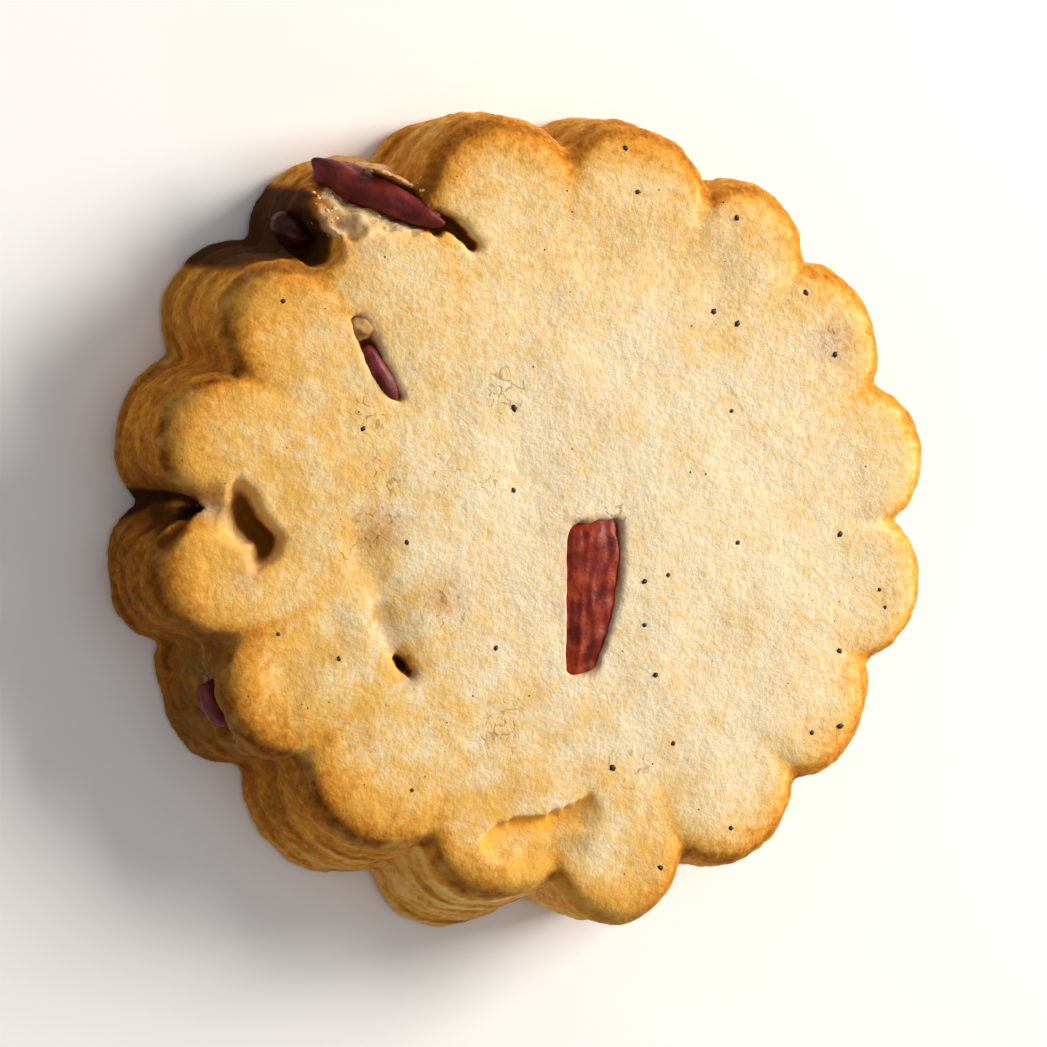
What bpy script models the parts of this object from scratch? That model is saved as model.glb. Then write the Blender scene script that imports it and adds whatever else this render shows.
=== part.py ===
"""A round, thick shortbread biscuit with a fluted edge and pieces of dried cranberry baked into it.

Metres, +Z up. The biscuit lies on its flat underside with the origin in the middle of that face.
One lobe of the edge, at the back left, has crumbled away along a slope and shows the cranberry in it.
"""

import math

import bmesh
import bpy
from mathutils import Matrix, Vector, noise

MM = 0.001

# The dough, in millimetres.
THICKNESS = 12.0
CROWN = 0.25
FOOT_BEVEL = 0.5
SHOULDER_HEIGHT = 2.6
SHOULDER_REACH = 2.3
ROUND_RADIUS = 31.5
NOTCH_SINK = 0.9
LOBE_ROUNDING = 0.7
STEPS_PER_LOBE = 8

# Each lobe of the fluted edge, anticlockwise from +X: the angle in degrees of the notch it starts at,
# how far out that notch is at the foot and at the top, and how far out the lobe's tip is at each.
# The dough was cut by hand and spread unevenly as it baked.
LOBES = (
    (0.0, 30.9, 29.9, 33.0, 33.6),
    (21.0, 30.9, 30.2, 32.8, 33.1),
    (43.0, 30.9, 30.1, 32.8, 33.0),
    (62.0, 30.9, 29.5, 33.2, 33.0),
    (86.0, 30.9, 29.2, 33.2, 32.6),
    (111.0, 30.9, 27.8, 33.4, 32.6),
    (133.5, 30.9, 27.8, 34.2, 32.1),
    (154.0, 30.9, 27.7, 33.3, 33.0),
    (176.0, 30.9, 29.6, 33.3, 33.0),
    (197.5, 30.0, 26.9, 32.3, 30.4),
    (221.0, 28.9, 26.6, 32.4, 29.4),
    (248.0, 29.9, 26.0, 33.3, 29.8),
    (272.0, 30.3, 27.4, 32.6, 33.0),
    (294.0, 30.6, 28.5, 32.8, 32.5),
    (316.0, 30.9, 29.6, 32.6, 32.2),
    (338.0, 30.9, 29.8, 33.1, 33.4),
)

# The profile of the dough, from the middle of the top down the side to the middle of the underside:
# shares of the way out to the edge, and heights.
TOP_RINGS = (0.0, 0.22, 0.34, 0.42, 0.5, 0.58, 0.66, 0.74, 0.81, 0.87)
SHOULDER_STEPS = 4
WALL_HEIGHTS = (6.8, 3.6)
UNDERSIDE_RINGS = (0.8, 0.0)

# Shallow furrows that sank into the top: two ends, how wide they reach to each side, and the depth.
FURROWS = (
    ((-15.8, -1.5), (-11.6, -10.6), 2.4, 0.32),
    ((-30.4, 2.2), (-27.4, 1.6), 2.4, 1.2),
    ((-1.5, -26.2), (1.5, -25.4), 2.6, 0.6),
)

# Gap between a cranberry and the dough round it.
GAP = 0.35

# Each piece of cranberry: its middle, its length, width and depth, the direction of its long axis
# (degrees round from +X, then degrees up), its roll, how square it is, and how finely it is made.
CRANBERRIES = {
    "cranberry_centre": ((3.5, -5.6, 10.8), (12.9, 5.1, 3.0), (86.0, 0.0), 0.0, 0.5, 3),
    "cranberry_rim": ((-13.3, 26.3, 9.0), (11.4, 3.0, 3.2), (-27.0, 23.0), 20.0, 0.85, 3),
    "cranberry_sliver": ((-13.8, 12.2, 11.1), (5.6, 1.9, 2.4), (-61.0, 0.0), 20.0, 0.85, 2),
    "cranberry_pit": ((-19.6, 23.5, 5.9), (3.4, 2.2, 2.2), (-40.0, 0.0), 0.0, 0.8, 2),
    "cranberry_side": ((-26.2, -13.5, 8.0), (3.8, 2.8, 2.4), (-62.0, 20.0), 0.0, 0.8, 2),
}

# Lumps that cut away dough: middle, size, direction of the long axis, roll, squareness, unevenness.
# The crumbled lobe slopes down from the top to its rim, and a pit opens in the notch beside it.
CRUMBLED = {
    "cut_crumbled_lobe": ((-15.8, 30.9, 12.0), (11.6, 14.5, 9.0), (-6.0, 0.0), -38.0, 0.5, 0.10),
    "cut_pit": ((-21.9, 23.4, 9.4), (9.0, 5.4, 7.8), (-20.0, 0.0), 0.0, 0.8, 0.25),
    "cut_hollow": ((-25.2, 0.6, 12.3), (8.2, 3.8, 6.2), (-63.0, 0.0), 0.0, 0.8, 0.20),
    "cut_side": ((-29.0, -14.9, 7.4), (7.6, 3.8, 7.2), (-62.0, 0.0), 0.0, 0.9, 0.25),
}

# The crack along the front, where the edge slid down a little: its path, and its widest radius.
CRACK_PATH = ((-5.9, -24.9), (-4.4, -23.6), (-2.3, -23.0), (0.0, -22.9), (1.7, -22.4), (3.5, -21.2))
CRACK_RADIUS = 0.9
CRACK_SINK = 0.15


def between(a, b, share):
    """The value that lies the given share of the way from a to b."""
    return a + (b - a) * share


def new_object(name, mesh, collection):
    """An object for a mesh, in a collection."""
    obj = bpy.data.objects.new(name, mesh)
    collection.objects.link(obj)
    return obj


def lobe_at(around):
    """The lobe at a place round the edge, the next one, and how far across the lobe it is."""
    index = int(around) % len(LOBES)
    return LOBES[index], LOBES[(index + 1) % len(LOBES)], around - int(around)


def bulge_at(around):
    """How far the edge bulges out there: 0 in a notch, 1 at a lobe's tip."""
    across = around - int(around)
    return (1.0 - (2.0 * across - 1.0) ** 2) ** LOBE_ROUNDING


def edge_radius(around, height):
    """The dough's outer radius at a place round the edge, counted in lobes, and at a height."""
    lobe, following, across = lobe_at(around)
    rise = min(height / THICKNESS, 1.0)
    notch_foot, notch_top = (between(a, b, across) for a, b in zip(lobe[1:3], following[1:3]))
    notch = between(notch_foot, notch_top, rise)
    tip = between(*lobe[3:], rise)
    return between(notch, tip, bulge_at(around))


def edge_angle(around):
    """The angle, in radians, of a place round the edge, counted in lobes."""
    lobe, following, across = lobe_at(around)
    end = following[0] + (360.0 if following[0] < lobe[0] else 0.0)
    return math.radians(between(lobe[0], end, across))


def furrow_depth(x, y):
    """How far the top has sunk at a place."""
    depth = 0.0
    for start, end, reach, deepest in FURROWS:
        along = Vector(end) - Vector(start)
        share = (Vector((x, y)) - Vector(start)).dot(along) / along.length_squared
        nearest = Vector(start) + along * min(max(share, 0.0), 1.0)
        closeness = 1.0 - (Vector((x, y)) - nearest).length / reach
        if closeness > 0.0:
            depth += deepest * closeness * closeness * (3.0 - 2.0 * closeness)
    return depth


def profile_points():
    """The plain round profile, from the middle of the top to the middle of the underside."""
    points = []
    for share in TOP_RINGS:
        points.append((share * ROUND_RADIUS, THICKNESS + CROWN * (1.0 - share)))
    for step in range(1, SHOULDER_STEPS + 1):
        turn = math.radians(90.0 * step / SHOULDER_STEPS)
        across = ROUND_RADIUS - SHOULDER_REACH * (1.0 - math.sin(turn))
        points.append((across, THICKNESS - SHOULDER_HEIGHT * (1.0 - math.cos(turn))))
    points += [(ROUND_RADIUS, height) for height in WALL_HEIGHTS]
    points += [(ROUND_RADIUS, FOOT_BEVEL), (ROUND_RADIUS - FOOT_BEVEL, 0.0)]
    points += [(share * ROUND_RADIUS, 0.0) for share in UNDERSIDE_RINGS]
    return points


def turned_round(collection):
    """The plain round biscuit, turned from its profile."""
    mesh = bpy.data.meshes.new("dough_profile")
    points = [(x * MM, 0.0, z * MM) for x, z in profile_points()]
    mesh.from_pydata(points, [(i, i + 1) for i in range(len(points) - 1)], [])
    obj = new_object("dough_profile", mesh, collection)
    screw = obj.modifiers.new("turn", "SCREW")
    screw.steps = screw.render_steps = STEPS_PER_LOBE * len(LOBES)
    screw.use_merge_vertices = True
    screw.merge_threshold = 0.00001
    return obj


def flute(mesh):
    """Draws the round edge in to the lobes, less and less towards the middle, and sinks the top."""
    for vertex in mesh.vertices:
        x, y, height = (value / MM for value in vertex.co)
        radius = math.hypot(x, y)
        if radius < 0.001:
            continue
        around = (math.degrees(math.atan2(y, x)) % 360.0) * len(LOBES) / 360.0
        around = round(around * STEPS_PER_LOBE) / STEPS_PER_LOBE % len(LOBES)
        share = radius / ROUND_RADIUS
        drawn = radius + (edge_radius(around, height) - ROUND_RADIUS) * share**5
        angle = edge_angle(around)
        x, y = drawn * math.cos(angle), drawn * math.sin(angle)
        if height > THICKNESS - SHOULDER_HEIGHT / 2.0:
            height -= furrow_depth(x, y) + NOTCH_SINK * (1.0 - bulge_at(around)) ** 2 * share**9
        vertex.co = Vector((x, y, height)) * MM


def evaluated_mesh(obj):
    """The object's mesh with its modifiers applied."""
    graph = bpy.context.evaluated_depsgraph_get()
    return bpy.data.meshes.new_from_object(obj.evaluated_get(graph))


def lump(name, size, square, unevenness, detail, collection):
    """A closed uneven lump of the given size, in mm, about its own middle."""
    mesh = bpy.data.meshes.new(name)
    shape = bmesh.new()
    bmesh.ops.create_icosphere(shape, subdivisions=detail, radius=1.0)
    place_in_noise = Vector((len(name), 0.0, 0.0)) * 1.7
    for vertex in shape.verts:
        way = vertex.co.normalized()
        swell = 1.0 + unevenness * noise.noise(way * 2.1 + place_in_noise)
        squared = [math.copysign(abs(value) ** square, value) for value in way]
        vertex.co = Vector([v * swell * s * MM / 2.0 for v, s in zip(squared, size)])
    shape.to_mesh(mesh)
    shape.free()
    mesh.shade_smooth()
    return new_object(name, mesh, collection)


def place(obj, middle, long_axis, roll=0.0):
    """Puts a lump at its middle in mm, its X along the long axis given as (round, up) degrees."""
    round_, up = (math.radians(value) for value in long_axis)
    turn = Matrix.Rotation(round_, 4, "Z") @ Matrix.Rotation(-up, 4, "Y")
    turn = turn @ Matrix.Rotation(math.radians(roll), 4, "X")
    obj.matrix_world = Matrix.Translation(Vector(middle) * MM) @ turn
    return obj


def as_cutter(obj):
    """Marks an object as one that only cuts."""
    obj.hide_render = True
    obj.display_type = "WIRE"
    return obj


def cut(body, cutter):
    """Takes a cutter's shape out of the body."""
    boolean = body.modifiers.new(cutter.name, "BOOLEAN")
    boolean.operation = "DIFFERENCE"
    boolean.object = as_cutter(cutter)


def cranberry(name, collection):
    """One piece of dried cranberry in its place."""
    middle, size, long_axis, roll, square, detail = CRANBERRIES[name]
    return place(lump(name, size, square, 0.22, detail, collection), middle, long_axis, roll)


def pocket(fruit, collection):
    """A cranberry's own shape grown by the gap, which cuts its place in the dough."""
    obj = new_object("pocket_" + fruit.name, fruit.data, collection)
    obj.matrix_world = fruit.matrix_world
    grow = obj.modifiers.new("grow", "DISPLACE")
    grow.strength = GAP * MM
    grow.mid_level = 0.0
    return obj


def crack_cutter(collection):
    """A rod that runs along the crack and cuts it."""
    curve = bpy.data.curves.new("crack", "CURVE")
    curve.dimensions = "3D"
    curve.bevel_depth = CRACK_RADIUS * MM
    curve.bevel_resolution = 1
    curve.use_fill_caps = True
    spline = curve.splines.new("POLY")
    spline.points.add(len(CRACK_PATH) - 1)
    for index, (point, (x, y)) in enumerate(zip(spline.points, CRACK_PATH)):
        point.co = (x * MM, y * MM, (THICKNESS - CRACK_SINK) * MM, 1.0)
        point.radius = 0.4 + 0.6 * math.sin(math.pi * index / (len(CRACK_PATH) - 1))
    guide = new_object("crack_guide", curve, collection)
    bpy.context.view_layer.update()
    mesh = evaluated_mesh(guide)
    closed = bmesh.new()
    closed.from_mesh(mesh)
    bmesh.ops.remove_doubles(closed, verts=closed.verts, dist=0.00001)
    bmesh.ops.recalc_face_normals(closed, faces=closed.faces)
    closed.to_mesh(mesh)
    closed.free()
    bpy.data.objects.remove(guide)
    return new_object("cut_crack", mesh, collection)


def biscuit(collection, cutters):
    """The fluted piece of dough, before anything is cut from it."""
    turned = turned_round(cutters)
    bpy.context.view_layer.update()
    mesh = evaluated_mesh(turned)
    bpy.data.objects.remove(turned)
    mesh.name = "biscuit"
    flute(mesh)
    mesh.shade_smooth()
    mesh.set_sharp_from_angle(angle=math.radians(50.0))
    return new_object("biscuit", mesh, collection)


def finish(name, colour, roughness):
    """A plain finish of one colour."""
    material = bpy.data.materials.new(name)
    material.use_nodes = True
    shader = material.node_tree.nodes["Principled BSDF"]
    shader.inputs["Base Color"].default_value = (*colour, 1.0)
    shader.inputs["Roughness"].default_value = roughness
    shader.inputs["Metallic"].default_value = 0.0
    return material


def main():
    for obj in list(bpy.data.objects):
        bpy.data.objects.remove(obj)
    scene = bpy.context.scene
    part = bpy.data.collections.new("shortbread_biscuit")
    cutters = bpy.data.collections.new("cutters")
    scene.collection.children.link(part)
    scene.collection.children.link(cutters)

    body = biscuit(part, cutters)
    body.data.materials.append(finish("baked_dough", (0.80, 0.56, 0.26), 0.8))
    for name, (middle, size, long_axis, roll, square, unevenness) in CRUMBLED.items():
        cutter = lump(name, size, square, unevenness, 2, cutters)
        cut(body, place(cutter, middle, long_axis, roll))
    cut(body, crack_cutter(cutters))

    fruit_finish = finish("dried_cranberry", (0.22, 0.03, 0.015), 0.45)
    for name in CRANBERRIES:
        fruit = cranberry(name, part)
        fruit.data.materials.append(fruit_finish)
        cut(body, pocket(fruit, cutters))
    body.modifiers.new("even_shading", "WEIGHTED_NORMAL").keep_sharp = True


main()
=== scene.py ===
"""A fluted shortbread biscuit with dried cranberries, as it looks out of the oven.

Lengths in this script are millimetres until a mesh is written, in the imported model's own frame.
"""
import math
import random

import bmesh
import bpy
import numpy as np
from mathutils import Matrix, Vector, noise


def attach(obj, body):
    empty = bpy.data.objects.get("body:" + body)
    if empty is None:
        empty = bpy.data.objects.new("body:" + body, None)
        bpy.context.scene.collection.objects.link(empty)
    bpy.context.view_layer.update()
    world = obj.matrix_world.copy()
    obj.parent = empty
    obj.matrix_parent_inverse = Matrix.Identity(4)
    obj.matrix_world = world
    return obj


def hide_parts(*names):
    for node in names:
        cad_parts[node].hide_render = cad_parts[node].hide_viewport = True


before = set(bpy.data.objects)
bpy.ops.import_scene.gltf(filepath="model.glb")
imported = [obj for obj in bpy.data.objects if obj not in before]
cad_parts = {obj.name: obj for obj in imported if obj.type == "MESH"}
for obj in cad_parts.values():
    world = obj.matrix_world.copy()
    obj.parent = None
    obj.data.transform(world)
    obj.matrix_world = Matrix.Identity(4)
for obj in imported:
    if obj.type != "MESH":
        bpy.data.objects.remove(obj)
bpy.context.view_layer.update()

MM = 0.001

# The dough.
THICKNESS = 12.0
CROWN = 0.25
FOOT_BEVEL = 0.5
SHOULDER_HEIGHT = 2.6
SHOULDER_REACH = 2.3
ROUND_RADIUS = 31.5
NOTCH_SINK = 0.9
LOBE_ROUNDING = 0.7

# Each lobe of the fluted edge, anticlockwise from +X: the angle in degrees of the notch it starts at,
# how far out that notch is at the foot and at the top, and how far out the lobe's tip is at each.
LOBES = np.array(
    (
        (0.0, 30.9, 29.9, 33.0, 33.6),
        (21.0, 30.9, 30.2, 32.8, 33.1),
        (43.0, 30.9, 30.1, 32.8, 33.0),
        (62.0, 30.9, 29.5, 33.2, 33.0),
        (86.0, 30.9, 29.2, 33.2, 32.6),
        (111.0, 30.9, 27.8, 33.4, 32.6),
        (133.5, 30.9, 27.8, 34.2, 32.1),
        (154.0, 30.9, 27.7, 33.3, 33.0),
        (176.0, 30.9, 29.6, 33.3, 33.0),
        (197.5, 30.0, 26.9, 32.3, 30.4),
        (221.0, 28.9, 26.6, 32.4, 29.4),
        (248.0, 29.9, 26.0, 33.3, 29.8),
        (272.0, 30.3, 27.4, 32.6, 33.0),
        (294.0, 30.6, 28.5, 32.8, 32.5),
        (316.0, 30.9, 29.6, 32.6, 32.2),
        (338.0, 30.9, 29.8, 33.1, 33.4),
    )
)
CRUMBLED_LOBE = 5

# Mesh fineness: the grid the dough is turned on, then the two sizes it is evened out to.
STEPS_AROUND = 320
RING_GAP = 1.2
ROUGH_VOXEL = 0.42
FINE_VOXEL = 0.275


def rgb(hex_colour):
    """An sRGB hex colour as linear red, green, blue and a full alpha."""
    parts = [int(hex_colour[i : i + 2], 16) / 255.0 for i in (1, 3, 5)]
    return [p / 12.92 if p <= 0.04045 else ((p + 0.055) / 1.055) ** 2.4 for p in parts] + [1.0]


def per_mm(size):
    """The scale of a pattern whose features are this many millimetres across."""
    return 1.0 / (size * MM)


def node(tree, kind, inputs=None, stops=(), **settings):
    """Adds a node with its settings and any colour stops, and sets or links its inputs."""
    made = tree.nodes.new("ShaderNode" + kind)
    for name, value in settings.items():
        setattr(made, name, value)
    for _ in stops[2:]:
        made.color_ramp.elements.new(0.5)
    for index, (position, colour) in enumerate(stops):
        made.color_ramp.elements[index].position = position
        made.color_ramp.elements[index].color = rgb(colour)
    for socket, value in (inputs or {}).items():
        if isinstance(value, bpy.types.NodeSocket):
            tree.links.new(value, made.inputs[socket])
        else:
            made.inputs[socket].default_value = value
    return made


def ease(share):
    """A share from 0 to 1 that starts and ends gently."""
    share = np.clip(share, 0.0, 1.0)
    return share * share * (3.0 - 2.0 * share)


def bumps(places, size, seed=0.0):
    """Smooth random values from -1 to 1, whose bumps are about this size."""
    scaled = places / size + seed
    return np.array([noise.noise(place) for place in scaled.tolist()])


def pebbles(places, size, seed=0.0):
    """Packed round crumbs of about this size: 1 in the middle of each, 0 between them."""
    scaled = places / size + seed
    near = np.array([noise.voronoi(place)[0][0] for place in scaled.tolist()])
    return np.clip(1.0 - near * near * 1.6, 0.0, 1.0)


def line_distance(x, y, path):
    """Distance to a line through the given points, the share of the way along it, and its side."""
    best = np.full(x.shape, 1e9)
    along_best = np.zeros(x.shape)
    side_best = np.zeros(x.shape)
    lengths = [math.dist(a, b) for a, b in zip(path, path[1:])]
    travelled = 0.0
    for (ax, ay), (bx, by), length in zip(path, path[1:], lengths):
        ux, uy = (bx - ax) / length, (by - ay) / length
        along = np.clip((x - ax) * ux + (y - ay) * uy, 0.0, length)
        distance = np.hypot(x - ax - along * ux, y - ay - along * uy)
        nearer = distance < best
        best = np.where(nearer, distance, best)
        along_best = np.where(nearer, (travelled + along) / sum(lengths), along_best)
        side = ux * (y - ay) - uy * (x - ax)
        side_best = np.where(nearer, side, side_best)
        travelled += length
    return best, along_best, side_best


def lobe_place(x, y):
    """Which lobe each place lies in, and how far across that lobe it is."""
    angle = np.degrees(np.arctan2(y, x)) % 360.0
    starts = LOBES[:, 0]
    index = np.searchsorted(starts, angle, side="right") - 1
    ends = np.append(starts[1:], 360.0)
    return index, (angle - starts[index]) / (ends[index] - starts[index])


def edge_radius(x, y, height):
    """The dough's outer radius in the direction of each place and at its height."""
    index, across = lobe_place(x, y)
    following = (index + 1) % len(LOBES)
    rise = np.clip(height / THICKNESS, 0.0, 1.0)
    notch_foot, notch_top = (LOBES[index] + (LOBES[following] - LOBES[index]) * across[:, None]).T[1:3]
    notch = notch_foot + (notch_top - notch_foot) * rise
    tip_foot, tip_top = LOBES[index].T[3:]
    tip = tip_foot + (tip_top - tip_foot) * rise
    bulge = (1.0 - (2.0 * across - 1.0) ** 2) ** LOBE_ROUNDING
    return notch + (tip - notch) * bulge, bulge


# ---------------------------------------------------------------- the dough's shape

# Furrows that sank softly into the top: ends, reach to each side, and depth.
FURROWS = (
    ((-15.8, -1.5), (-11.6, -10.6), 2.4, 0.32),
    ((-30.4, 2.2), (-27.4, 1.6), 2.4, 1.2),
    ((-1.5, -26.2), (1.5, -25.4), 2.6, 0.5),
    ((-22.0, -11.0), (-18.0, -8.0), 3.0, 0.35),
    ((14.0, 20.0), (4.0, 22.0), 4.0, 0.25),
)

# The hollow behind the left notch: its steep rim, and how deep and how far it goes beside that rim.
HOLLOW_RIM = ((-25.9, 4.2), (-24.8, 3.3), (-23.8, 1.3), (-22.3, -0.5), (-22.6, -2.0), (-24.4, -3.1))
HOLLOW_DEPTH = 3.6
HOLLOW_REACH = 4.6

# The split that runs in from the left notch, and the thin crack that leaves it along the shoulder.
FISSURE = ((-34.0, 1.4), (-29.4, 2.6))
SHOULDER_CRACK = ((-29.4, 2.3), (-30.2, 0.4), (-31.6, -0.9))

# The pit beside the crumbled lobe, where dough fell out; the dark brown inside it is painted shade.
PIT = ((-25.4, 23.7), (-22.4, 24.2), (-20.4, 23.9), (-19.0, 22.4))
PIT_REACH = 2.7
PIT_DEPTH = 6.6

SLIT = ((-15.9, 16.6), (-14.0, 12.6), (-12.2, 10.0))
TAIL = ((-9.4, 24.3), (-7.6, 23.6), (-6.0, 22.1))
SMALL_HOLE = ((-13.0, -9.7), (-11.4, -11.6))

# Where fine cracks show in the top: middle, and reach.
CRACKED = (
    ((-14.0, 4.2), 1.9),
    ((-8.8, 4.0), 1.6),
    ((-4.8, 3.6), 1.2),
    ((6.6, -19.3), 1.8),
    ((-3.6, 10.8), 2.2),
    ((-14.6, 0.4), 2.0),
    ((-8.9, -6.2), 2.2),
    ((-16.6, -2.2), 1.4),
    ((24.8, 14.4), 1.6),
    ((-15.0, 9.0), 1.6),
    ((-4.0, -16.0), 2.4),
    ((5.5, 1.2), 1.4),
)

# Where the front edge slid down a little, and the step it left.
SLIP = ((-5.9, -24.9), (-4.4, -23.6), (-2.3, -23.0), (0.0, -22.9), (1.7, -22.4), (3.5, -21.2))
SLIP_DEPTH = 1.5
SLIP_REACH = 2.6

# The opening over the cranberry in the middle: places along it with the half width at each.
BED = ((3.9, 0.35, 2.15), (3.75, -3.4, 2.35), (3.55, -6.0, 2.05), (3.3, -8.6, 1.7), (2.8, -11.7, 1.25))

# The crumbled lobe: where its slope starts, how steep it is, the flake left standing beside it,
# and the trough that its cranberry lies in.
BREAK_EDGE = 23.2
BREAK_SLOPE = 0.74
FLAKE_THICKNESS = 1.3
TROUGH = ((-18.6, 28.6), (-13.1, 26.1), (-8.4, 23.9))


def profile_points():
    """The plain round profile, from the middle of the top to the middle of the underside."""
    shoulder = ROUND_RADIUS - SHOULDER_REACH
    points = []
    for across in np.arange(0.0, shoulder, RING_GAP):
        points.append((across, THICKNESS + CROWN * (1.0 - across / ROUND_RADIUS)))
    for turn in np.radians(np.linspace(0.0, 90.0, 8)):
        across = ROUND_RADIUS - SHOULDER_REACH * (1.0 - math.sin(turn))
        points.append((across, THICKNESS - SHOULDER_HEIGHT * (1.0 - math.cos(turn))))
    for height in np.linspace(THICKNESS - SHOULDER_HEIGHT, FOOT_BEVEL, 11)[1:]:
        points.append((ROUND_RADIUS, height))
    for across in (ROUND_RADIUS - FOOT_BEVEL, 26.0, 18.0, 9.0, 0.0):
        points.append((across, 0.0))
    return points


def write_mesh(name, points, faces):
    """A mesh from points in millimetres."""
    mesh = bpy.data.meshes.new(name)
    mesh.from_pydata((points * MM).tolist(), [], faces)
    mesh.validate()
    return mesh


def read_points(mesh):
    """A mesh's points in millimetres."""
    flat = np.empty(len(mesh.vertices) * 3, np.float32)
    mesh.vertices.foreach_get("co", flat)
    return flat.reshape(-1, 3).astype(float) / MM


def read_normals(mesh):
    """The smooth direction that the surface faces at each point."""
    flat = np.empty(len(mesh.vertices) * 3, np.float32)
    mesh.vertex_normals.foreach_get("vector", flat)
    return flat.reshape(-1, 3).astype(float)


def move_points(mesh, points):
    """Puts a mesh's points at new places in millimetres."""
    mesh.vertices.foreach_set("co", (points * MM).astype(np.float32).ravel())
    mesh.update()


def add_piece(name, mesh, *materials):
    """An object in the scene for a mesh, with its materials."""
    piece = bpy.data.objects.new(name, mesh)
    bpy.context.scene.collection.objects.link(piece)
    for material in materials:
        mesh.materials.append(material)
    return piece


def evened(mesh, voxel):
    """The same closed shape, in even faces of one size."""
    carrier = add_piece("evening", mesh)
    remesh = carrier.modifiers.new("even", "REMESH")
    remesh.mode = "VOXEL"
    remesh.voxel_size = voxel * MM
    remesh.use_smooth_shade = True
    bpy.context.view_layer.update()
    graph = bpy.context.evaluated_depsgraph_get()
    even = bpy.data.meshes.new_from_object(carrier.evaluated_get(graph))
    bpy.data.objects.remove(carrier)
    bpy.data.meshes.remove(mesh)
    return even


def turned_dough():
    """The fluted biscuit, cut out and not yet baked: turned, then drawn in to its lobes."""
    profile = np.array(profile_points())
    turns = np.linspace(0.0, 2.0 * math.pi, STEPS_AROUND, endpoint=False)
    rings = profile[1:-1]
    x = np.outer(rings[:, 0], np.cos(turns)).ravel()
    y = np.outer(rings[:, 0], np.sin(turns)).ravel()
    z = np.repeat(rings[:, 1], STEPS_AROUND)
    radius = np.repeat(rings[:, 0], STEPS_AROUND)
    edge, bulge = edge_radius(x, y, z)
    share = radius / ROUND_RADIUS
    drawn = (radius + (edge - ROUND_RADIUS) * share**5) / radius
    upper = z > THICKNESS - SHOULDER_HEIGHT / 2.0
    z = z - upper * NOTCH_SINK * (1.0 - bulge) ** 2 * share**9
    ends = [(0.0, 0.0, profile[0, 1]), (0.0, 0.0, profile[-1, 1])]
    points = np.vstack([np.column_stack([x * drawn, y * drawn, z]), ends])

    top, bottom = len(points) - 2, len(points) - 1
    last = (len(rings) - 1) * STEPS_AROUND
    faces = []
    for step in range(STEPS_AROUND):
        after = (step + 1) % STEPS_AROUND
        faces.append((top, step, after))
        faces.append((bottom, last + after, last + step))
        for start in range(0, last, STEPS_AROUND):
            below = start + STEPS_AROUND
            faces.append((start + step, below + step, below + after, start + after))
    return write_mesh("dough", points, faces)


def top_height(x, y):
    """The height of the top before anything sank or broke."""
    return THICKNESS + CROWN * (1.0 - np.hypot(x, y) / ROUND_RADIUS)


def sink_to(z, x, y, depth):
    """Lowers what lies higher than the given depth under the top, where there is any depth."""
    return np.where(depth > 0.0, np.minimum(z, top_height(x, y) - depth), z)


def crumbled_slope(x, y, z, rough):
    """Heights after the back-left lobe broke away, all but a thin flake along its right flank."""
    index, across = lobe_place(x, y)
    edge, _ = edge_radius(x, y, np.full(x.shape, THICKNESS))
    inside = edge - np.hypot(x, y)
    flake = (across < 0.40) & (inside < FLAKE_THICKNESS + 0.35 * rough)
    beyond = y - (BREAK_EDGE + 0.55 * rough) - 0.05 * (x + 14.0)
    broken = (index == CRUMBLED_LOBE) & ~flake & (beyond > 0.0)
    slope = THICKNESS - 0.7 - BREAK_SLOPE * beyond + 0.55 * rough
    distance, _, side = line_distance(x, y, TROUGH)
    slope += 0.7 * ease(1.0 - np.abs(distance - 2.5) / 1.1) * (side < 0.0)
    trough = slope - 1.6 * ease(1.5 * (1.0 - distance / 2.1))
    lowered = np.where(broken, np.minimum(z, trough), z)
    worn = (index == CRUMBLED_LOBE) & flake & (across > 0.02)
    lowered = np.where(worn, np.minimum(lowered, THICKNESS - 0.9 + 0.5 * rough), lowered)
    return np.where(worn & (distance < 1.5), np.minimum(lowered, trough), lowered)


def bed_gap(x, y):
    """How far inside the opening over the middle cranberry each place is; less than 0 outside."""
    across, up, half = np.array(BED).T
    order = np.argsort(up)
    middle = np.interp(y, up[order], across[order])
    reach = np.interp(y, up[order], half[order])
    ends = np.minimum(up.max() - y, y - up.min())
    return np.minimum(reach - np.abs(x - middle), ends)


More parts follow.
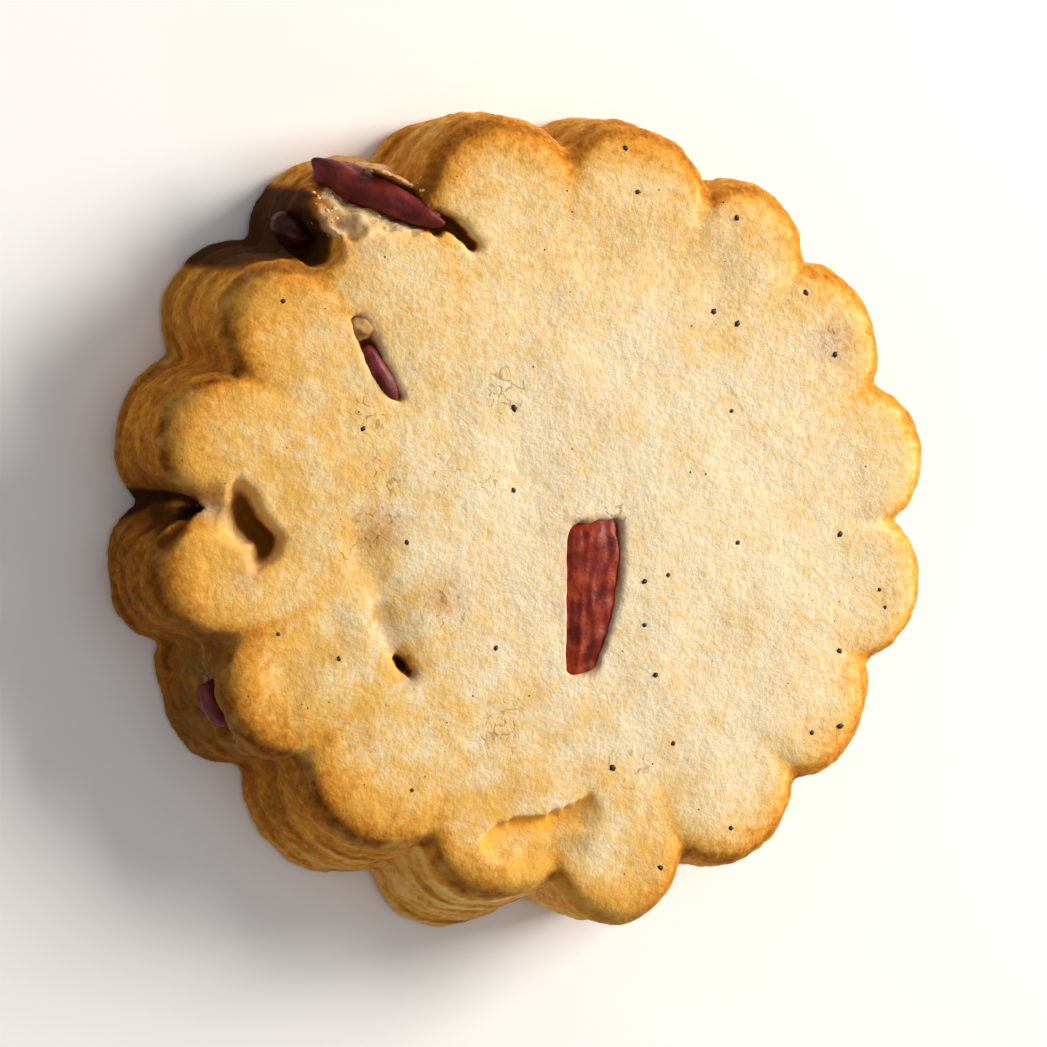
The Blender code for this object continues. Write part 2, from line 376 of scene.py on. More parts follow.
def carved(points):
    """The dough's points after baking: furrows, cracks, the hollow and the crumbled lobe."""
    x, y, z = points.T.copy()
    flat = np.column_stack([x, y, np.zeros(len(x))])
    rough = bumps(flat, 2.2, 3.0) + 0.5 * bumps(flat, 0.9, 7.0)
    broad = 0.26 * bumps(points, 9.0, 1.0) + 0.12 * bumps(points, 4.0, 2.0)
    upper = ease((z - 7.0) / 3.5)

    for start, end, reach, depth in FURROWS:
        distance, _, _ = line_distance(x, y, (start, end))
        z = z - upper * depth * ease(1.0 - distance / reach)
    z = z + upper * broad

    distance, along, side = line_distance(x, y, HOLLOW_RIM)
    distance = np.where(side < 0.0, distance + 0.3, 0.3 - distance) + 0.22 * rough
    fade = np.sin(np.pi * along) ** 0.55
    bowl = ease(distance / 0.55) * np.clip(1.0 - distance / HOLLOW_REACH, 0.0, 1.0) ** 1.15
    z = sink_to(z, x, y, HOLLOW_DEPTH * fade * bowl)

    distance, along, _ = line_distance(x, y, FISSURE)
    reach = 1.7 - 1.2 * along + 0.25 * rough
    z = sink_to(z, x, y, 7.5 * ease(1.6 * (1.0 - distance / np.maximum(reach, 0.05))))
    distance, _, _ = line_distance(x, y, SHOULDER_CRACK)
    z = z - upper * 0.8 * ease(1.5 * (1.0 - distance / (0.55 + 0.15 * rough)))

    distance, along, _ = line_distance(x, y, PIT)
    reach = PIT_REACH * (1.0 + 0.26 * rough) * (1.0 - 0.25 * along)
    z = sink_to(z, x, y, (PIT_DEPTH + 0.8 * rough) * ease(1.7 * (1.0 - distance / reach)))

    distance, along, _ = line_distance(x, y, SLIT)
    reach = 0.8 * np.sin(np.pi * np.clip(along * 0.8 + 0.16, 0.0, 1.0)) + 0.25 * rough
    z = sink_to(z, x, y, 1.7 * ease(1.5 * (1.0 - distance / np.maximum(reach, 0.05))))

    distance, along, _ = line_distance(x, y, TAIL)
    z = sink_to(z, x, y, 2.4 * ease(1.4 * (1.0 - distance / (0.85 - 0.35 * along + 0.3 * rough))))

    distance, along, _ = line_distance(x, y, SMALL_HOLE)
    reach = 0.62 * np.sin(np.pi * np.clip(along, 0.15, 0.85)) + 0.1 * rough
    z = sink_to(z, x, y, 1.8 * ease(1.4 * (1.0 - distance / np.maximum(reach, 0.05))))

    distance, along, side = line_distance(x, y, SLIP)
    fade = np.sin(np.pi * np.clip(along, 0.0, 1.0)) ** 0.5
    outer = (side < 0.0) & (along > 0.0) & (along < 1.0)
    step = SLIP_DEPTH * fade * (1.0 - distance / (SLIP_REACH + 0.5 * rough))
    z = sink_to(z, x, y, np.where(outer, step, 0.0))

    z = sink_to(z, x, y, 2.6 * ease((bed_gap(x, y) + 0.34 * rough) / 0.5))
    z = crumbled_slope(x, y, z, rough)
    return np.column_stack([x, y, z])


# How far apart the ridges down the side are.
RIDGE_GAP = 3.3

# Two places where the side opened: the angle, half width and middle height, and how far in it went.
SPLIT = (176.8, 1.9, 8.0, 3.2)
TORN = (208.0, 4.2, 6.8, 2.6)


def side_break(points, place, tall):
    """How strongly a break in the side shows at each point, from 0 to 1."""
    angle, half_width, middle, _ = place
    x, y, z = points.T
    along = np.radians((np.degrees(np.arctan2(y, x)) % 360.0) - angle) * np.hypot(x, y)
    return np.exp(-((along / half_width) ** 2) - ((z - middle) / tall) ** 2)


def pulled_sides(points):
    """The side wall as the cutter and the oven left it: drag ridges, bulges and broken places."""
    x, y, z = points.T
    radius = np.maximum(np.hypot(x, y), 0.01)
    edge, _ = edge_radius(x, y, z)
    near = ease((radius - edge + 2.6) / 2.0) * ease((THICKNESS - 0.6 - z) / 2.5)
    drift = z + 0.9 * bumps(points, 7.0, 11.0)
    dragged = 0.13 - 0.06 * x / radius + 0.06 * y / radius
    ridges = dragged * np.sin(drift * 2.0 * math.pi / RIDGE_GAP)
    ridges += 0.06 * np.sin(drift * 2.0 * math.pi / 1.2)
    swell = 0.5 * bumps(points, 6.0, 12.0) + 0.25 * bumps(points, 2.4, 13.0)
    pull = near * (ridges + swell)
    pull -= near * SPLIT[3] * side_break(points, SPLIT, 5.5)
    torn = side_break(points, TORN, 3.8)
    pull -= near * torn * (TORN[3] + 1.5 * bumps(points, 1.5, 14.0))
    pull = np.minimum(pull, np.maximum(edge + 0.35 - radius, 0.0))
    scale = (radius + pull) / radius
    return np.column_stack([x * scale, y * scale, z])


def flat_underside(mesh):
    """Turns the many small faces of the flat underside into one."""
    shape = bmesh.new()
    shape.from_mesh(mesh)
    floor = [f for f in shape.faces if max(v.co.z for v in f.verts) < 0.04 * MM]
    bmesh.ops.dissolve_faces(shape, faces=floor, use_verts=False)
    shape.to_mesh(mesh)
    shape.free()


def crumb_relief(points, masks):
    """How far each point stands out or in for the crumb, in millimetres."""
    sandy = 0.03 * bumps(points, 1.4, 21.0) + 0.035 * bumps(points, 0.65, 22.0)
    sandy += 0.035 * (pebbles(points, 1.3, 23.0) - 0.6)
    coarse = 0.30 * (pebbles(points, 1.6, 24.0) - 0.5) + 0.16 * bumps(points, 0.8, 25.0)
    return sandy + masks["crumb"] * coarse + masks["side"] * 0.45 * coarse


def dough_masks(points, normals):
    """How strongly each finish shows at each point of the dough, from 0 to 1; some of them carry painted
    shade and light.
    """
    x, y, z = points.T
    radius = np.hypot(x, y)
    edge, _ = edge_radius(x, y, np.full(x.shape, THICKNESS))
    inside = edge - radius
    angle = np.arctan2(y, x)
    blotch = bumps(points, 6.0, 31.0) + 0.6 * bumps(points, 2.2, 32.0)
    side = ease((0.70 - normals[:, 2]) / 0.45) * ease((6.0 - inside) / 1.5)
    depth = top_height(x, y) - z

    left = 0.5 - 0.5 * np.cos(angle - math.radians(15.0))
    width = 1.7 + 2.8 * left + 0.7 * blotch
    rim = np.exp(-((np.maximum(inside - 0.4, 0.0) / np.maximum(width, 0.8)) ** 1.5))
    from_pale = np.hypot(x - PALE_MIDDLE[0], y - PALE_MIDDLE[1])
    browning_and_shading = 0.05 + 0.19 * ease((from_pale - 12.0) / 18.0) + 0.05 * blotch
    browning_and_shading += (0.36 + 0.12 * left) * rim
    # Rounded shoulders are browned, and browner on the left where they face away from the window light: real
    # browning with painted shade added on the left.
    shoulder = ease((0.93 - normals[:, 2]) / 0.25) * ease(1.0 - inside / 5.0)
    browning_and_shading += (0.10 + 0.20 * left) * shoulder
    # The side walls are browned dough. Painted shade darkens the left walls further, painted bounce light
    # lightens the front walls, and a little painted shade darkens the grooves between the drag ridges.
    left_wall_shade = np.exp(-((((np.degrees(angle) % 360.0) - 200.0) / 40.0) ** 2))
    ridge_shading = np.sin((z + 0.9 * bumps(points, 7.0, 11.0)) * 2.0 * math.pi / RIDGE_GAP)
    front_wall_bounce_light = np.exp(-((((np.degrees(angle) % 360.0) - 258.0) / 26.0) ** 2))
    wall = 0.58 + 0.26 * left_wall_shade - 0.24 * front_wall_bounce_light + 0.09 * blotch - 0.04 * ridge_shading
    browning_and_shading = browning_and_shading + (wall - browning_and_shading) * side
    under = ease((1.0 - z) / 0.8) * ease((-normals[:, 2] - 0.6) / 0.3)
    browning_and_shading = browning_and_shading + (0.62 + 0.08 * blotch - browning_and_shading) * under

    warm, _, _ = line_distance(x, y, GOLDEN_BAND)
    golden = 0.9 * ease(1.1 - warm / 16.0) + 0.3 * blotch - 0.1
    hole, _, _ = line_distance(x, y, ((-14.0, -7.0), SMALL_HOLE[1]))
    golden = np.maximum(golden, 1.1 * ease(1.2 - hole / 2.0))

    index, across = lobe_place(x, y)
    broken = (index == CRUMBLED_LOBE) & (y > BREAK_EDGE - 0.2) & (depth > 0.5)
    outer = inside + 0.06 * (THICKNESS - z) < 1.0
    flake = (index == CRUMBLED_LOBE) & (across > 0.04) & (across < 0.42) & (depth > 0.6)
    crumb = np.where(broken & ~outer, 1.0, 0.7 * flake * ease((normals[:, 2] - 0.1) / 0.4))
    rim_distance, _, rim_side = line_distance(x, y, HOLLOW_RIM)
    saddle = ease((depth - 0.7) / 0.8) * ease((4.6 - rim_distance) / 1.5) * (rim_side < 0.0)
    saddle *= ease((rim_distance - 1.2) / 1.2) * ease((z - 9.0) / 1.0)
    crumb = np.maximum(crumb, 0.9 * saddle)
    torn = 1.3 * side_break(points, TORN, 3.8) * side

    # Darker brown to near black in the hollow, pit, split, shoulder crack, holes, slit and the gap round the
    # middle cranberry: painted shade of these recesses, with some real caramelised brown in the hollow.
    recess_shade_and_browning = ease((depth - 0.9) / 1.2) * ease((2.6 - rim_distance) / 1.2) * (rim_side < 0.3) * 0.7
    distance, _, _ = line_distance(x, y, PIT)
    recess_shade_and_browning = np.maximum(recess_shade_and_browning, 0.92 * ease((3.8 - distance) / 1.0) * ease((depth - 1.2) / 1.6))
    distance, _, _ = line_distance(x, y, ((-13.8, -6.4), SMALL_HOLE[1]))
    recess_shade_and_browning = np.maximum(recess_shade_and_browning, 0.3 * ease(1.3 - distance / 1.0))
    distance, along, _ = line_distance(x, y, FISSURE)
    split = ease((2.1 - 1.1 * along - distance) / 0.6) * ease((depth - 1.6) / 1.0)
    recess_shade_and_browning = np.maximum(recess_shade_and_browning, 0.95 * split)
    distance, _, _ = line_distance(x, y, SHOULDER_CRACK)
    recess_shade_and_browning = np.maximum(recess_shade_and_browning, 0.8 * ease(1.6 - distance / 0.4))
    for path, strength in ((SMALL_HOLE, 1.0), (TAIL, 0.8), (SLIT, 0.7)):
        distance, _, _ = line_distance(x, y, path)
        sunk = ease(1.7 - distance / 1.0) * ease((depth - 0.35) / 0.6)
        recess_shade_and_browning = np.maximum(recess_shade_and_browning, strength * sunk)
    recess_shade_and_browning = np.maximum(recess_shade_and_browning, 1.1 * side_break(points, SPLIT, 6.0) * side)
    recess_shade_and_browning = np.maximum(recess_shade_and_browning, 0.75 * ease((depth - 0.5) / 0.6) * (bed_gap(x, y) > -0.5))
    distance, along, line_side = line_distance(x, y, SLIP)
    slipped = ease(1.2 - distance / 2.2) * (line_side < 0.0) * (along > 0.0) * (along < 1.0)

    juice = np.zeros(x.shape)
    for place, reach, strength in JUICE:
        distance = np.hypot(x - place[0], y - place[1]) + 0.9 * blotch
        juice = np.maximum(juice, strength * ease(1.25 - distance / reach))
    juice = np.maximum(juice, 0.8 * ease(1.0 + (bed_gap(x, y) + 0.3 * blotch) / 0.6))

    cracked = np.zeros(x.shape)
    for place, reach in CRACKED:
        cracked = np.maximum(cracked, ease(1.4 - np.hypot(x - place[0], y - place[1]) / reach))
    finishes = {
        "browning_and_shading": browning_and_shading,
        "golden": golden * (1.0 - side),
        "slipped": slipped,
        "crumb": crumb,
        "torn": torn,
        "recess_shade_and_browning": recess_shade_and_browning,
        "juice": juice * (1.0 - 0.5 * side),
        "cracked": cracked * (1.0 - side),
        "side": side,
    }
    return {name: np.clip(values, 0.0, 1.0) for name, values in finishes.items()}


# The thickest and palest part of the top, and the side where butter came up and fried yellow.
PALE_MIDDLE = (8.0, -3.0)
GOLDEN_BAND = ((-27.0, 12.0), (-20.0, -6.0), (-12.0, -20.0), (2.0, -27.0))

# Where cranberry juice stained the dough: place, reach and strength.
JUICE = (
    ((-14.0, 0.4), 2.4, 0.75),
    ((-9.2, -5.6), 2.8, 0.55),
    ((-28.6, 2.2), 2.6, 0.35),
    ((-24.6, -2.2), 1.8, 0.6),
    ((-15.2, 15.4), 1.8, 0.7),
    ((24.8, 14.4), 2.2, 0.6),
    ((-17.5, 26.2), 3.0, 0.35),
    ((1.2, -6.0), 1.6, 0.5),
    ((-15.6, 22.8), 1.8, 0.35),
)


def baked_dough(finish):
    """The biscuit's dough, with its fluted edge, crumb, cracks and broken lobe."""
    mesh = evened(turned_dough(), ROUGH_VOXEL)
    move_points(mesh, pulled_sides(carved(read_points(mesh))))
    mesh = evened(mesh, FINE_VOXEL)
    points = read_points(mesh)
    normals = read_normals(mesh)
    masks = dough_masks(points, normals)
    relief = crumb_relief(points, masks) * ease((points[:, 2] - 0.05) / 0.6)
    points = points + normals * relief[:, None]
    points[:, 2] = np.maximum(points[:, 2], 0.0)
    move_points(mesh, points)
    for name, values in masks.items():
        layer = mesh.attributes.new(name, "FLOAT", "POINT")
        layer.data.foreach_set("value", values.astype(np.float32))
    mesh.name = "baked_dough"
    flat_underside(mesh)
    mesh.shade_smooth()
    return add_piece("baked_dough", mesh, finish)


# ---------------------------------------------------------------- what is in and on the dough


def wrinkled_cranberry(name, finish, along, wrinkle, streaks, narrowing=0.0):
    """A detailed cranberry in the place and shape of the plain one, wrinkled along its length, and
    narrower by this share at the end that the direction points away from."""
    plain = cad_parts[name]
    mesh = plain.data.copy()
    mesh.transform(plain.matrix_world)
    mesh.materials.clear()
    size = np.ptp(read_points(mesh), axis=0)
    mesh = evened(mesh, min(0.16, size.min() / 12.0))
    carrier = add_piece("smoothing", mesh)
    smooth = carrier.modifiers.new("soften", "SMOOTH")
    smooth.iterations = 12
    smooth.factor = 0.6
    bpy.context.view_layer.update()
    graph = bpy.context.evaluated_depsgraph_get()
    soft = bpy.data.meshes.new_from_object(carrier.evaluated_get(graph))
    bpy.data.objects.remove(carrier)

    points = read_points(soft)
    normals = read_normals(soft)
    axis = np.array(Vector(along).normalized())
    length = points @ axis
    share = (length.max() - length) / np.ptp(length)
    middle = points.mean(axis=0)
    across = points - middle - np.outer(length - middle @ axis, axis)
    points -= across * (narrowing * share**1.5)[:, None]
    stretched = points + np.outer(length * (1.0 / streaks - 1.0), axis)
    folds = 1.0 - np.abs(bumps(stretched, 1.1, 51.0)) * 2.0
    fine = bumps(stretched, 0.45, 52.0)
    lumps = bumps(points, 1.9, 53.0)
    points += normals * (wrinkle * (0.5 * folds + 0.3 * fine + 0.6 * lumps))[:, None]
    move_points(soft, points)
    layer = soft.attributes.new("crease", "FLOAT", "POINT")
    layer.data.foreach_set("value", np.clip(0.5 + 0.5 * folds, 0.0, 1.0).astype(np.float32))
    soft.shade_smooth()
    soft.name = name + "_fruit"
    piece = add_piece(name + "_fruit", soft, finish)
    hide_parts(name)
    return piece


def joined_grains(name, places, sizes, finish, seed, squash=0.6, detail=1):
    """One mesh of many small grains, each an uneven pebble at its own place."""
    chance = random.Random(seed)
    shape = bmesh.new()
    for place, size in zip(places, sizes):
        made = bmesh.ops.create_icosphere(shape, subdivisions=detail, radius=0.5)["verts"]
        turn = Matrix.Rotation(chance.uniform(0.0, math.tau), 4, "Z")
        turn = turn @ Matrix.Rotation(chance.uniform(-0.5, 0.5), 4, "X")
        stretch = Matrix.Diagonal((chance.uniform(0.8, 1.3), 1.0, squash, 1.0))
        shift = chance.uniform(0.0, 90.0)
        for vertex in made:
            swell = 1.0 + 0.35 * noise.noise(vertex.co * 3.0 + Vector((shift, 0.0, 0.0)))
            vertex.co = (turn @ stretch @ (vertex.co * swell * size) + Vector(place)) * MM
    mesh = bpy.data.meshes.new(name)
    shape.to_mesh(mesh)
    shape.free()
    mesh.shade_smooth()
    return add_piece(name, mesh, finish)


# The plainest vanilla specks on the top, and how many finer ones lie anywhere on the dough.
SPECKS = (
    (6.5, 30.0), (7.5, 26.5), (16.0, 24.5), (14.0, 17.0), (16.0, 16.0), (-3.0, 9.5), (15.5, 9.0),
    (-15.5, 8.0), (24.5, 13.5), (22.0, 18.5), (25.0, -1.0), (16.0, -1.5), (8.0, -4.5), (10.0, -4.0),
    (8.0, -8.0), (-4.5, -9.5), (-17.5, -10.0), (-22.5, -8.0), (10.5, -17.5), (25.0, -16.5),
    (22.5, -17.0), (15.5, -24.5), (9.5, -27.5), (-11.5, -20.5), (9.0, -12.0), (28.5, -5.5),
    (29.0, -7.0), (25.0, -10.5), (-3.0, 3.0), (-22.0, 18.0), (5.4, -19.3), (-12.0, -1.0),
)
FINE_SPECKS = 150


def surface_at(piece, x, y):
    """The point and direction of the surface straight under a place."""
    hit, place, normal, _ = piece.ray_cast(Vector((x, y, 30.0)) * MM, Vector((0.0, 0.0, -1.0)))
    return (place / MM, normal) if hit else (None, None)


def vanilla_specks(dough, finish):
    """Ground vanilla seen as dark specks in the surface."""
    chance = random.Random(5)
    places, sizes = [], []
    for x, y in SPECKS:
        point, normal = surface_at(dough, x, y)
        if point is not None:
            places.append(point - normal * 0.05)
            sizes.append(chance.uniform(0.46, 0.62))
    while len(places) < len(SPECKS) + FINE_SPECKS:
        angle, out = chance.uniform(0.0, math.tau), math.sqrt(chance.random()) * 32.5
        point, normal = surface_at(dough, out * math.cos(angle), out * math.sin(angle))
        if point is not None and point.z > 8.0:
            places.append(point - normal * 0.04)
            sizes.append(chance.uniform(0.14, 0.26))
    return joined_grains("vanilla_specks", places, sizes, finish, seed=6, squash=0.5)


def loose_crumbs(dough, finish):
    """Crumbs that cling to the slope of the broken lobe."""
    chance = random.Random(11)
    places, sizes = [], []
    while len(places) < 45:
        x, y = chance.uniform(-19.0, -10.0), chance.uniform(23.0, 28.5)
        point, normal = surface_at(dough, x, y)
        if point is None or not 7.5 < point.z < 11.2:
            continue
        places.append(point - normal * 0.06)
        sizes.append(0.2 + 0.4 * chance.random() ** 3)
    return joined_grains("loose_crumbs", places, sizes, finish, seed=12, squash=0.7, detail=2)


def tan_lump(finish):
    """A toasted lump of dough that sits in the top end of the short slit."""
    return joined_grains("tan_lump", [(-15.4, 15.8, THICKNESS - 0.5)], [1.9], finish, seed=3, detail=4)


# ---------------------------------------------------------------- finishes


def new_finish(name):
    """A material with its node tree, its shader and the place of each point in millimetres."""
    material = bpy.data.materials.new(name)
    material.use_nodes = True
    tree = material.node_tree
    shader = tree.nodes["Principled BSDF"]
    place = node(tree, "TexCoord").outputs["Object"]
    return material, tree, shader, place


def shortbread_finish():
    """Baked shortbread: butter, sugar and flour. Dry and sandy, so it scatters light evenly and
    never shines; pale where it is thick, golden and then brown where it is thin or faces the tray.
    Painted shade darkens its recesses, cracks, left walls and shoulders, and painted bounce light
    lightens its front walls."""
    material, tree, shader, place = new_finish("baked_shortbread")
    grain = node(tree, "TexNoise", {"Vector": place, "Scale": per_mm(0.7), "Detail": 5.0,
                                    "Roughness": 0.7}).outputs["Fac"]
    cloud = node(tree, "TexNoise", {"Vector": place, "Scale": per_mm(3.2), "Detail": 4.0,
                                    "Roughness": 0.6}).outputs["Fac"]
    # This attribute holds the dough's browning together with painted shade on the left walls, shoulders and
    # ridge grooves, and painted bounce light on the front walls.
    browning_and_shading = node(tree, "Attribute", attribute_name="browning_and_shading").outputs["Fac"]
    spread = node(tree, "MapRange", {"Value": grain, "From Min": 0.3, "From Max": 0.7,
                                     "To Min": -0.15, "To Max": 0.15}).outputs["Result"]
    drift = node(tree, "MapRange", {"Value": cloud, "From Min": 0.3, "From Max": 0.7,
                                    "To Min": -0.08, "To Max": 0.08}).outputs["Result"]
    baked = node(tree, "Math", {0: browning_and_shading, 1: spread}, operation="ADD").outputs[0]
    baked = node(tree, "Math", {0: baked, 1: drift}, operation="ADD", use_clamp=True).outputs[0]
    colour = node(tree, "ValToRGB", {"Fac": baked}, stops=(
        (0.0, "#f1dfbb"),
        (0.18, "#f1d198"),
        (0.38, "#edb865"),
        (0.56, "#dc9230"),
        (0.76, "#b06a1a"),
        (1.0, "#713c08"),
    )).outputs["Color"]
    golden = node(tree, "Attribute", attribute_name="golden").outputs["Fac"]
    patch = node(tree, "MapRange", {"Value": cloud, "From Min": 0.42, "From Max": 0.62}).outputs["Result"]
    fried = node(tree, "Math", {0: golden, 1: patch}, operation="MULTIPLY").outputs[0]
    colour = node(tree, "Mix", {0: fried, 6: colour, 7: rgb("#ebb453")}, data_type="RGBA").outputs[2]
    slipped = node(tree, "Attribute", attribute_name="slipped").outputs["Fac"]
    slid = node(tree, "Math", {0: slipped, 1: 0.8}, operation="MULTIPLY").outputs[0]
    colour = node(tree, "Mix", {0: slid, 6: colour, 7: rgb("#f0aa30")}, data_type="RGBA").outputs[2]
    crumb = node(tree, "Attribute", attribute_name="crumb").outputs["Fac"]
    inside = node(tree, "ValToRGB", {"Fac": grain}, stops=(
        (0.3, "#b98a50"), (0.5, "#ddbb84"), (0.7, "#efdcb4"))).outputs["Color"]
    colour = node(tree, "Mix", {0: crumb, 6: colour, 7: inside}, data_type="RGBA").outputs[2]
    torn = node(tree, "Attribute", attribute_name="torn").outputs["Fac"]
    rough = node(tree, "ValToRGB", {"Fac": grain}, stops=(
        (0.35, "#4e3610"), (0.5, "#7d5c26"), (0.68, "#c8ab74"))).outputs["Color"]
    colour = node(tree, "Mix", {0: torn, 6: colour, 7: rough}, data_type="RGBA").outputs[2]
    juice = node(tree, "Attribute", attribute_name="juice").outputs["Fac"]
    smudge = node(tree, "Math", {0: juice, 1: grain}, operation="MULTIPLY").outputs[0]
    colour = node(tree, "Mix", {0: smudge, 6: colour, 7: rgb("#a8604a")}, data_type="RGBA").outputs[2]
    cracked = node(tree, "Attribute", attribute_name="cracked").outputs["Fac"]
    vein = node(tree, "TexNoise", {"Vector": place, "Scale": per_mm(1.4), "Detail": 1.0,
                                   "Distortion": 0.3}).outputs["Fac"]
    off_vein = node(tree, "Math", {0: vein, 1: 0.5}, operation="SUBTRACT").outputs[0]
    off_vein = node(tree, "Math", {0: off_vein}, operation="ABSOLUTE").outputs[0]
    line = node(tree, "MapRange", {"Value": off_vein, "From Min": 0.008, "From Max": 0.045,
                                   "To Min": 0.42, "To Max": 0.0}).outputs["Result"]
    crack = node(tree, "Math", {0: line, 1: cracked}, operation="MULTIPLY").outputs[0]
    broken_up = node(tree, "MapRange", {"Value": grain, "From Min": 0.47, "From Max": 0.55}).outputs["Result"]
    crack = node(tree, "Math", {0: crack, 1: broken_up}, operation="MULTIPLY").outputs[0]
    # The crack lines are painted darker: painted shade inside the fine cracks.
    colour = node(tree, "Mix", {0: crack, 6: colour, 7: rgb("#7a4c1a")}, data_type="RGBA").outputs[2]
    recess_shade_and_browning = node(tree, "Attribute", attribute_name="recess_shade_and_browning").outputs["Fac"]
    # Brown where the recesses are: mostly painted shade, with real caramelised brown in the hollow.
    brown = node(tree, "MapRange", {"Value": recess_shade_and_browning, "From Max": 0.6}).outputs["Result"]
    colour = node(tree, "Mix", {0: brown, 6: colour, 7: rgb("#8a500c")}, data_type="RGBA").outputs[2]
    # Near black where the recesses are deepest: painted shade.
    black = node(tree, "MapRange", {"Value": recess_shade_and_browning, "From Min": 0.6, "From Max": 1.0}).outputs["Result"]
    colour = node(tree, "Mix", {0: black, 6: colour, 7: rgb("#2a1204")}, data_type="RGBA").outputs[2]
    tree.links.new(colour, shader.inputs["Base Color"])
    shader.inputs["Roughness"].default_value = 0.85
    shader.inputs["IOR"].default_value = 1.45
    shader.inputs["Specular IOR Level"].default_value = 0.15
    sand = node(tree, "TexNoise", {"Vector": place, "Scale": per_mm(0.45), "Detail": 4.0,
                                   "Roughness": 0.6}).outputs["Fac"]
    sand = node(tree, "Math", {0: sand, 1: crack}, operation="SUBTRACT").outputs[0]
    bump = node(tree, "Bump", {"Height": sand, "Strength": 0.6, "Distance": 0.2 * MM})
    tree.links.new(bump.outputs["Normal"], shader.inputs["Normal"])
    return material


def crumb_finish(name, dark, middle, pale):
    """Broken shortbread crumb: dry, rough dough with no shine, pale inside and browner if toasted."""
    material, tree, shader, place = new_finish(name)
    grain = node(tree, "TexNoise", {"Vector": place, "Scale": per_mm(1.2), "Detail": 4.0}).outputs["Fac"]
    stops = ((0.3, dark), (0.5, middle), (0.7, pale))
    colour = node(tree, "ValToRGB", {"Fac": grain}, stops=stops).outputs["Color"]
    tree.links.new(colour, shader.inputs["Base Color"])
    shader.inputs["Roughness"].default_value = 0.85
    shader.inputs["IOR"].default_value = 1.45
    shader.inputs["Specular IOR Level"].default_value = 0.3
    return material


def cranberry_finish(name, skin, crease_shade, glow):
    """Dried, sugared cranberry: leathery wrinkled skin with a sticky low sheen, red in patches, painted
    light passing through the thin skin, and almost black in the creases, painted shade."""
    material, tree, shader, place = new_finish(name)
    mottle = node(tree, "TexNoise", {"Vector": place, "Scale": per_mm(1.3), "Detail": 4.0}).outputs["Fac"]
    crease = node(tree, "Attribute", attribute_name="crease").outputs["Fac"]
    # The creases between the wrinkles take the darker colour: painted shade.
    colour = node(tree, "Mix", {0: crease, 6: rgb(crease_shade), 7: rgb(skin)}, data_type="RGBA").outputs[2]
    patch = node(tree, "MapRange", {"Value": mottle, "From Min": 0.45, "From Max": 0.7}).outputs["Result"]
    colour = node(tree, "Mix", {0: patch, 6: colour, 7: rgb(glow)}, data_type="RGBA").outputs[2]
    tree.links.new(colour, shader.inputs["Base Color"])
    shader.inputs["Roughness"].default_value = 0.46
    shader.inputs["IOR"].default_value = 1.45
    shader.inputs["Specular IOR Level"].default_value = 0.35
    fine = node(tree, "TexNoise", {"Vector": place, "Scale": per_mm(0.3), "Detail": 3.0}).outputs["Fac"]
    bump = node(tree, "Bump", {"Height": fine, "Strength": 0.5, "Distance": 0.1 * MM})
    tree.links.new(bump.outputs["Normal"], shader.inputs["Normal"])
    return material


def vanilla_finish():
    """Ground vanilla pod: dull black-brown specks."""
    material, tree, shader, place = new_finish("ground_vanilla")
    shade = node(tree, "TexNoise", {"Vector": place, "Scale": per_mm(2.0)}).outputs["Fac"]
    stops = ((0.3, "#1a0f08"), (0.7, "#3a2414"))
    colour = node(tree, "ValToRGB", {"Fac": shade}, stops=stops).outputs["Color"]
    tree.links.new(colour, shader.inputs["Base Color"])
    shader.inputs["Roughness"].default_value = 0.6
    return material


def tabletop_finish():
    """Matt white laminate, plain and pale."""
    material, tree, shader, place = new_finish("white_laminate")
    shade = node(tree, "TexNoise", {"Vector": place, "Scale": per_mm(60.0)}).outputs["Fac"]
    stops = ((0.3, "#fbfaf8"), (0.7, "#ffffff"))
    colour = node(tree, "ValToRGB", {"Fac": shade}, stops=stops).outputs["Color"]
    tree.links.new(colour, shader.inputs["Base Color"])
    shader.inputs["Roughness"].default_value = 0.6
    return material


# ---------------------------------------------------------------- table, light and camera


def tabletop():
    """The pale surface that the biscuit lies on."""
    mesh = bpy.data.meshes.new("tabletop")
    shape = bmesh.new()
    bmesh.ops.create_grid(shape, x_segments=1, y_segments=1, size=2.0)
    shape.to_mesh(mesh)
    shape.free()
    floor = add_piece("tabletop", mesh, tabletop_finish())
    floor.location.z = -0.00002


def soft_light(name, place, size, power, colour):
    """A square soft light at a place in millimetres, facing the biscuit."""
    lamp = bpy.data.lights.new(name, "AREA")
    lamp.size = size * MM
    lamp.energy = power
    lamp.color = rgb(colour)[:3]
    holder = bpy.data.objects.new(name, lamp)
    bpy.context.scene.collection.objects.link(holder)
    holder.location = Vector(place) * MM
    holder.rotation_euler = holder.location.to_track_quat("Z", "Y").to_euler()


def studio():
    """A large window-like light from the right, little fill, and a white surround."""
    soft_light("window", (780.0, 310.0, 435.0), 460.0, 13.6, "#fffaf0")
    soft_light("overhead", (60.0, 60.0, 620.0), 400.0, 0.40, "#ffffff")
    world = bpy.data.worlds.new("surround")
    bpy.context.scene.world = world
    world.use_nodes = True
    background = world.node_tree.nodes["Background"]
    background.inputs["Color"].default_value = rgb("#ffffff")
    background.inputs["Strength"].default_value = 0.28


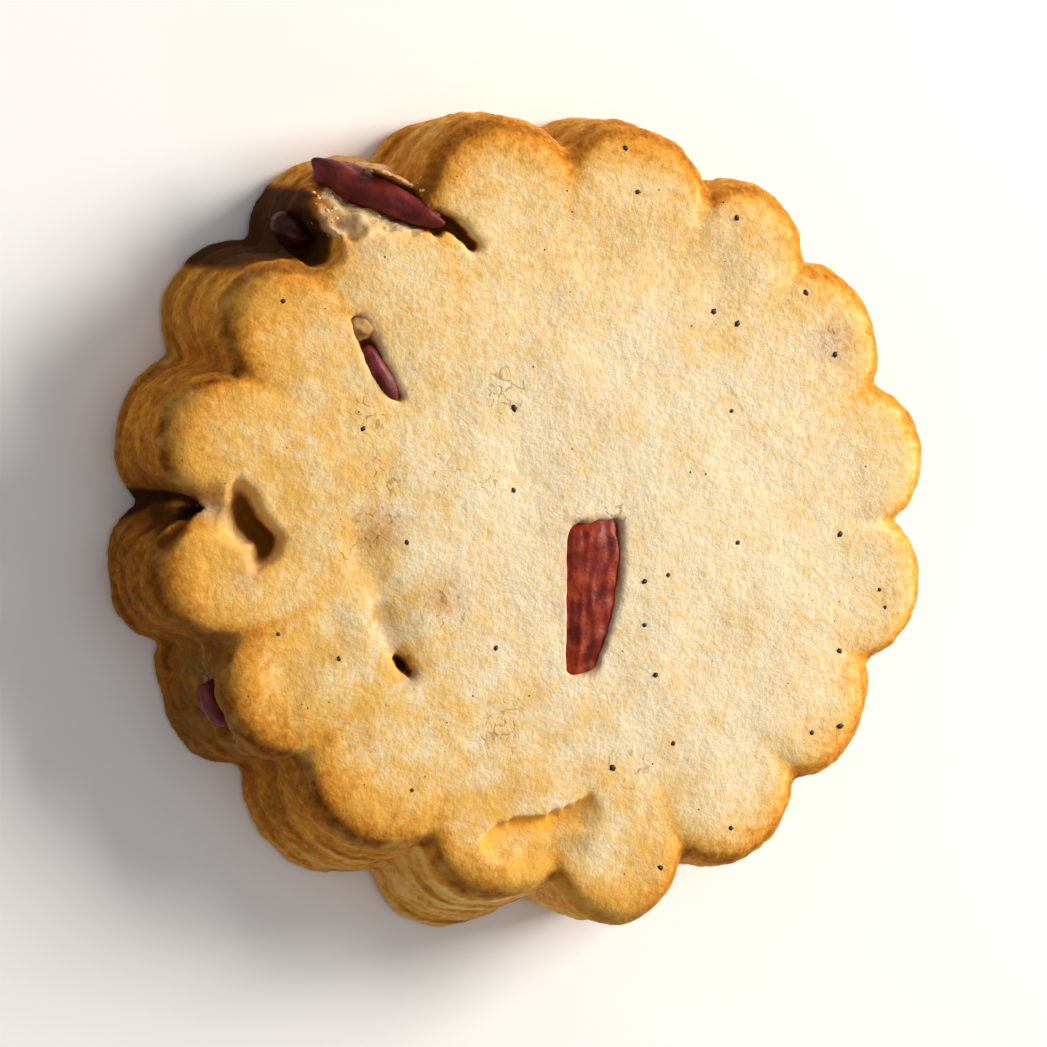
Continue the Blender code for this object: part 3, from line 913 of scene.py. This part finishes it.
def camera():
    """A long lens that looks down on the biscuit from the hollow's side, with +Y up the picture."""
    towards = Vector((-0.3364, 0.0497, 0.9403)).normalized()
    across = Vector((0.0, 1.0, 0.0)).cross(towards).normalized()
    upward = towards.cross(across)
    lens = bpy.data.cameras.new("camera")
    lens.lens = 200.0
    lens.sensor_width = 36.0
    frame_width = 84.0
    distance = frame_width * lens.lens / lens.sensor_width
    lens.clip_start = 0.02
    aim = Vector((0.0, 0.0, THICKNESS / 2.0))
    holder = bpy.data.objects.new("camera", lens)
    bpy.context.scene.collection.objects.link(holder)
    pose = Matrix((across, upward, towards)).transposed().to_4x4()
    pose.translation = (aim + towards * distance) * MM
    holder.matrix_world = pose
    bpy.context.scene.camera = holder


def main():
    dough = baked_dough(shortbread_finish())
    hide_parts("biscuit")

    red = cranberry_finish("cranberry_red", "#86200e", "#420a03", "#ac4216")
    dark = cranberry_finish("cranberry_dark", "#6c1e1c", "#34090a", "#8a342a")
    # A darker copy of the cranberry finish for the fruit deep in the pit: painted shade.
    shaded = cranberry_finish("cranberry_in_shade", "#43120c", "#1e0504", "#5a1c14")
    pieces = [
        dough,
        wrinkled_cranberry("cranberry_centre", red, (0.1, 1.0, 0.0), 0.26, 4.0, narrowing=0.25),
        wrinkled_cranberry("cranberry_rim", dark, (-0.8, 0.37, -0.47), 0.2, 4.0, narrowing=0.4),
        wrinkled_cranberry("cranberry_sliver", dark, (0.48, -0.87, 0.0), 0.1, 3.0),
        wrinkled_cranberry("cranberry_pit", shaded, (0.94, -0.34, 0.0), 0.28, 2.0),
        wrinkled_cranberry("cranberry_side", dark, (0.47, -0.88, 0.34), 0.26, 2.0),
    ]
    bpy.context.view_layer.update()
    specks = vanilla_specks(dough, vanilla_finish())
    crumbs = loose_crumbs(dough, crumb_finish("broken_crumb", "#c08c4a", "#e0b878", "#f0d8a8"))
    lump = tan_lump(crumb_finish("toasted_lump", "#8a6030", "#b98a50", "#cda468"))
    for piece in pieces + [specks, crumbs, lump]:
        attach(piece, "root")

    bpy.context.scene.view_settings.view_transform = "Standard"
    tabletop()
    studio()
    camera()


main()
